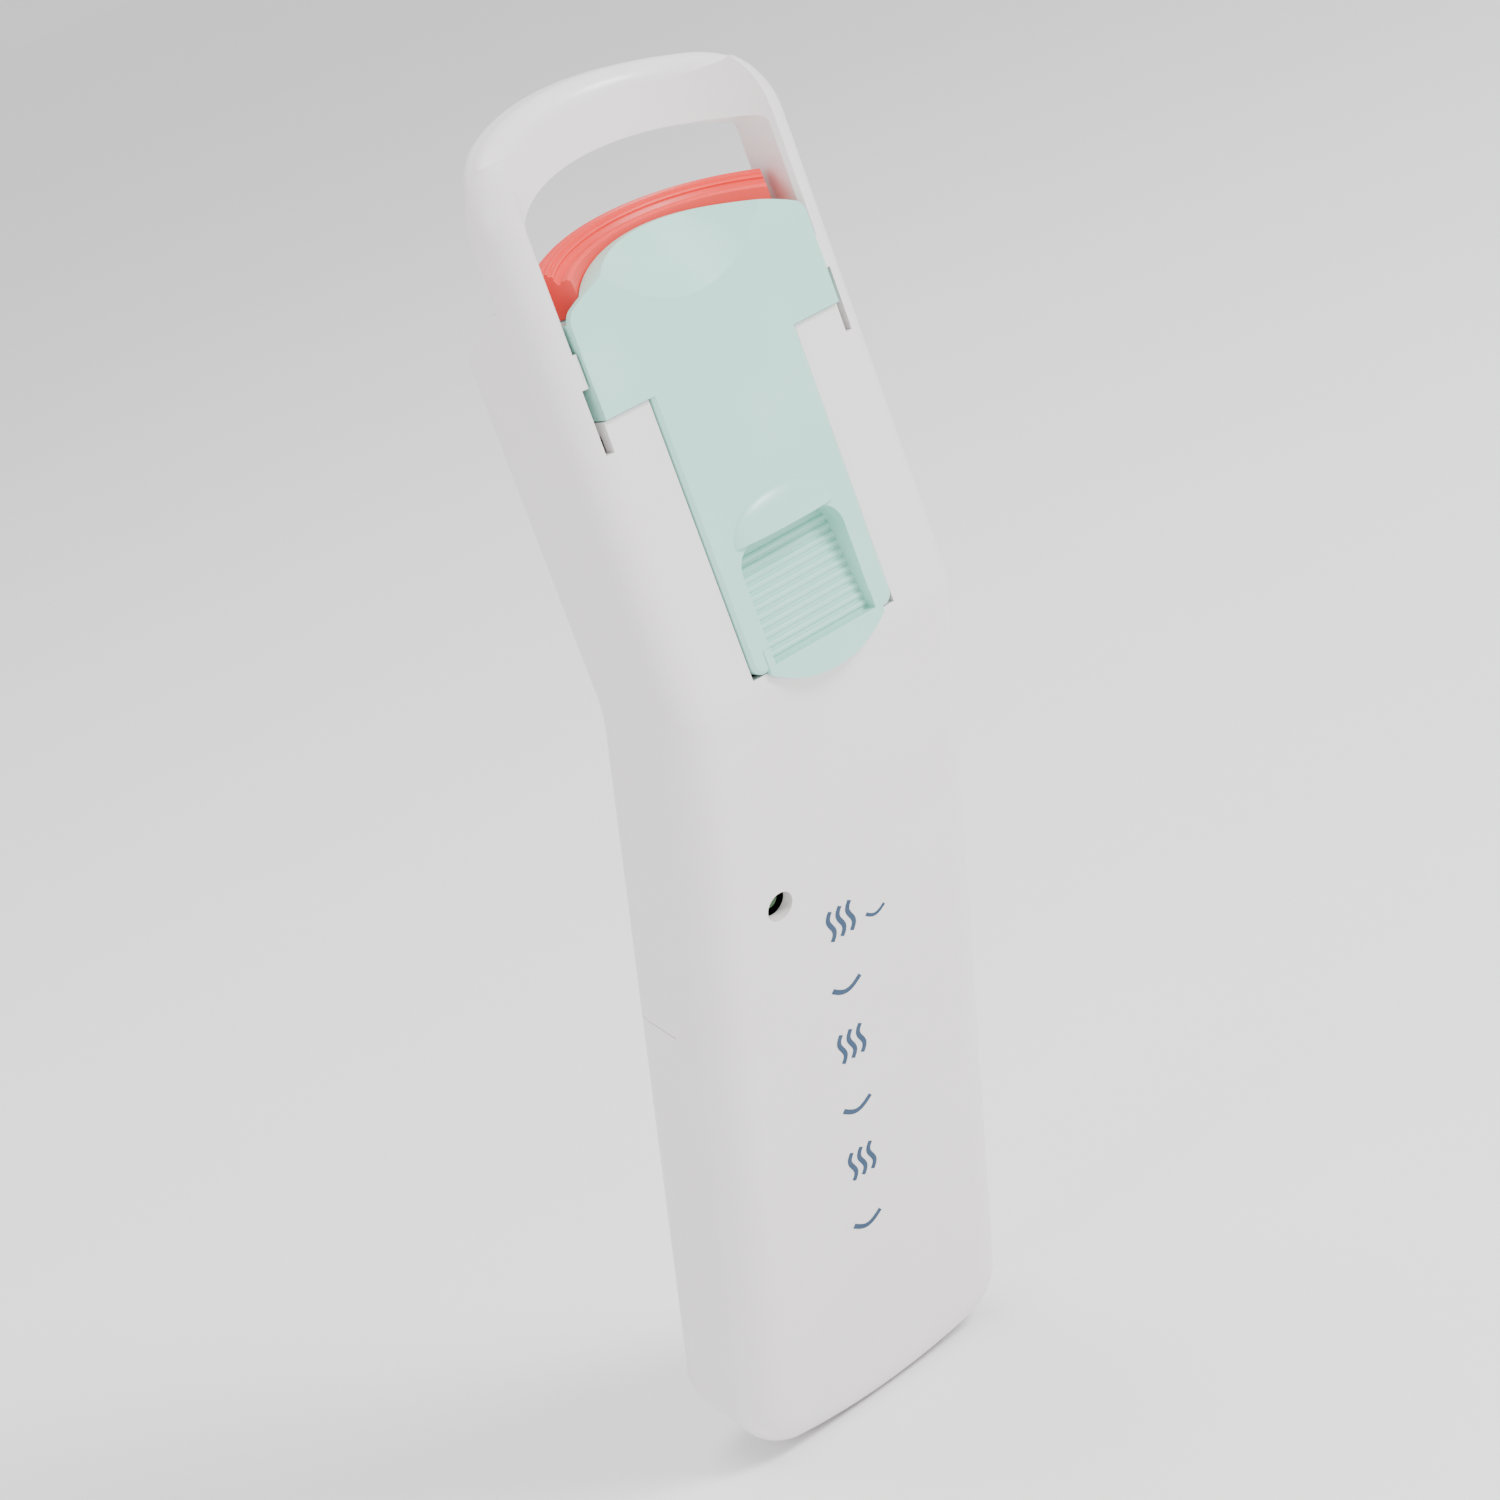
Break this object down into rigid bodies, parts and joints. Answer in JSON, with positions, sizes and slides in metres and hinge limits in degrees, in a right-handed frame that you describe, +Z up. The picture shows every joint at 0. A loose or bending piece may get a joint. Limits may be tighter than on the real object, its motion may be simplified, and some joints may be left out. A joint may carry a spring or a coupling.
{
  "type": "heated eyelash curler",
  "caption": "Handheld heated eyelash curler: bent grip with a loop-shaped lash bar, a sliding thumb plate that lifts a curved heated pad, and a battery cover.",
  "frame": {"origin": "centre of the bounding box in X and Y, at its lowest point; the tool is held as in use, with the head upright and the grip leaning back below it", "axes": "+Z up along the head, the way the pad rises; +Y from the front face to the back; +X to the right seen from the front"},
  "size_m": [0.035, 0.0496, 0.1404],
  "materials": {
    "shell_white": "glossy pale pink-white",
    "mint_plastic": "satin mint",
    "pad_coral": "satin coral",
    "inner_plastic": "matt",
    "heat_bed": "matt",
    "aluminium_plate": "satin",
    "heater_film": "satin",
    "screw_steel": "bright",
    "spring_steel": "bright",
    "contact_brass": "bright",
    "board_green": "satin",
    "chip_black": "matt",
    "ferrite": "matt",
    "ceramic_tan": "matt",
    "lamp_green": "clear dark green",
    "cell_jacket": "satin",
    "wire_red": "satin",
    "wire_white": "satin"
  },
  "bodies": {
    "housing": {"front_shell": "shell_white", "rear_shell": "shell_white", "contact_rails": "contact_brass", "return_spring_left": "spring_steel", "return_spring_right": "spring_steel", "chassis": "inner_plastic", "chassis_screws": "screw_steel", "shell_screws": "screw_steel", "circuit_board": "board_green", "control_chip": "chip_black", "boost_coil": "ferrite", "board_capacitors": "ceramic_tan", "indicator_led": "lamp_green", "battery_cell": "cell_jacket", "cell_spring_contact": "spring_steel", "cell_plate_contact": "spring_steel", "battery_leads": "wire_red", "rail_leads": "wire_red"},
    "slider": {"thumb_slide": "mint_plastic", "slide_backing": "inner_plastic", "backing_screws": "screw_steel", "lash_pad": "pad_coral", "heater_plate": "aluminium_plate", "heating_element": "heater_film", "pad_cradle": "heat_bed", "wiper_contacts": "contact_brass", "heater_leads": "wire_white"},
    "battery_cover_body": {"battery_cover": "shell_white"}
  },
  "joints": [
    {"name": "pad_slide", "type": "slide", "parent": "housing", "child": "slider", "axis": [0, 0, 1], "range_m": [0, 0.0044], "stiffness_N_per_m": 60, "springref_m": -0.004, "deforming": ["return_spring_left", "return_spring_right"]},
    {"name": "battery_cover_slide", "type": "slide", "parent": "housing", "child": "battery_cover_body", "axis": [0, 0.3891, -0.9212], "range_m": [0, 0.055]}
  ]
}
